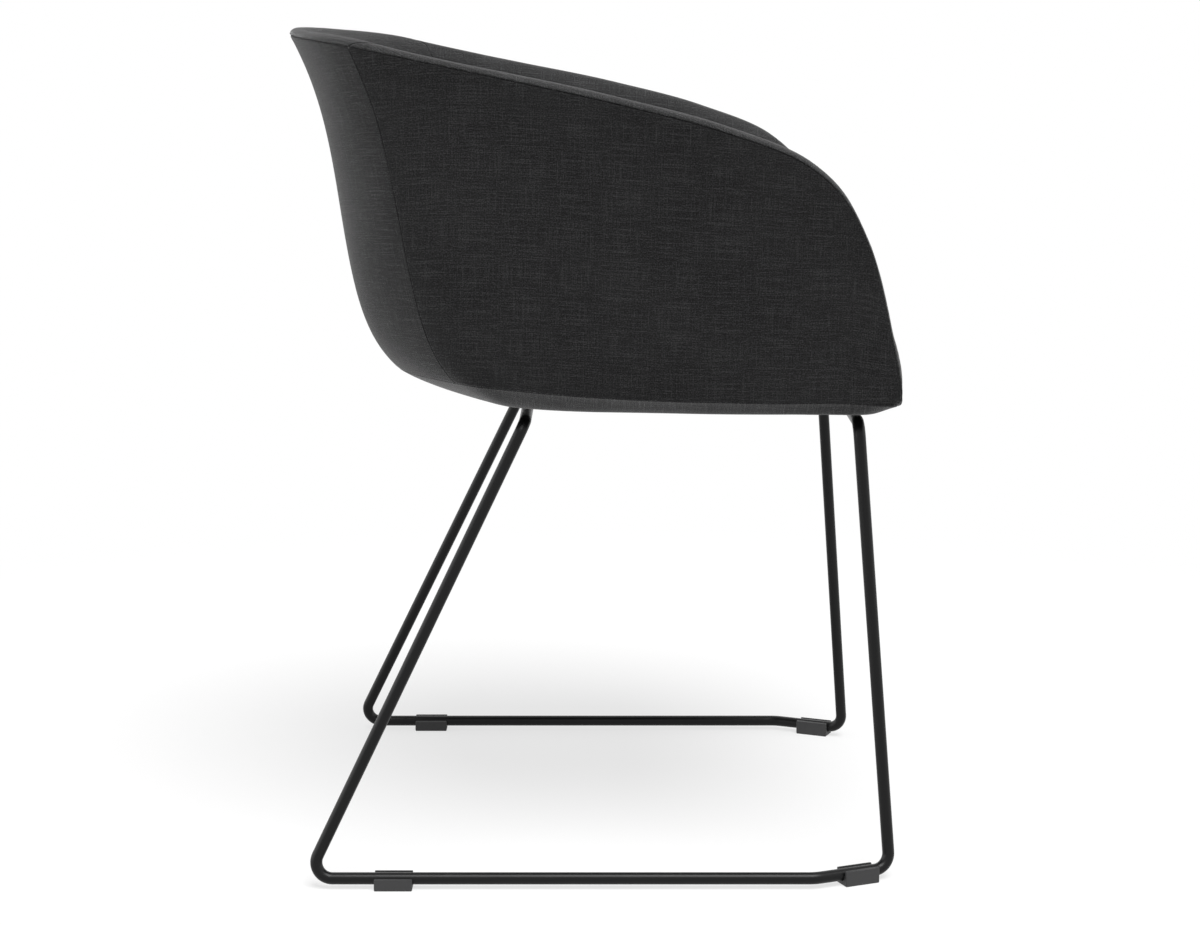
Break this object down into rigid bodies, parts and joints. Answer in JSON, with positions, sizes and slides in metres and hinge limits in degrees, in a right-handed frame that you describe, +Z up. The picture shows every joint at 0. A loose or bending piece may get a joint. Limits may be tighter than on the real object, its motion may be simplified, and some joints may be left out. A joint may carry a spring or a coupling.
{
  "type": "dining armchair",
  "caption": "Dining armchair with an upholstered bucket shell whose back runs down into low arms, on a bent steel rod sled frame with clip-on floor glides.",
  "frame": {"origin": "on the floor, under the centre of the chair's bounding box", "axes": "+Z up, -Y the way the sitter faces, +X to the sitter's left"},
  "size_m": [0.602, 0.587, 0.7903],
  "materials": {
    "outer_fabric": "charcoal plain weave with fine paler slubs, felled seams",
    "inner_fabric": "the same charcoal weave, a little paler where light falls on it",
    "foam": "cut polyurethane foam, hidden",
    "moulded_shell": "plain moulded plastic, hidden",
    "coated_rod": "satin black powder coat on bent steel rod",
    "coated_plate": "satin black powder coat on flat steel",
    "glide_plastic": "matt black moulded plastic",
    "zinc_steel": "zinc-plated steel"
  },
  "bodies": {
    "root": {"structural_shell": "moulded_shell", "seat_foam": "foam", "outer_back_cover": "outer_fabric", "bottom_cover": "outer_fabric", "seat_cover": "inner_fabric", "inner_back_cover": "inner_fabric", "outer_side_cover_left": "outer_fabric", "inner_arm_cover_left": "inner_fabric", "sled_rod_left": "coated_rod", "mount_plate_left": "coated_plate", "glide_front_left": "glide_plastic", "screw_front_left": "zinc_steel", "washer_front_left": "zinc_steel", "insert_front_left": "zinc_steel", "glide_rear_left": "glide_plastic", "screw_rear_left": "zinc_steel", "washer_rear_left": "zinc_steel", "insert_rear_left": "zinc_steel", "outer_side_cover_right": "outer_fabric", "inner_arm_cover_right": "inner_fabric", "sled_rod_right": "coated_rod", "mount_plate_right": "coated_plate", "glide_front_right": "glide_plastic", "screw_front_right": "zinc_steel", "washer_front_right": "zinc_steel", "insert_front_right": "zinc_steel", "glide_rear_right": "glide_plastic", "screw_rear_right": "zinc_steel", "washer_rear_right": "zinc_steel", "insert_rear_right": "zinc_steel"}
  },
  "joints": []
}
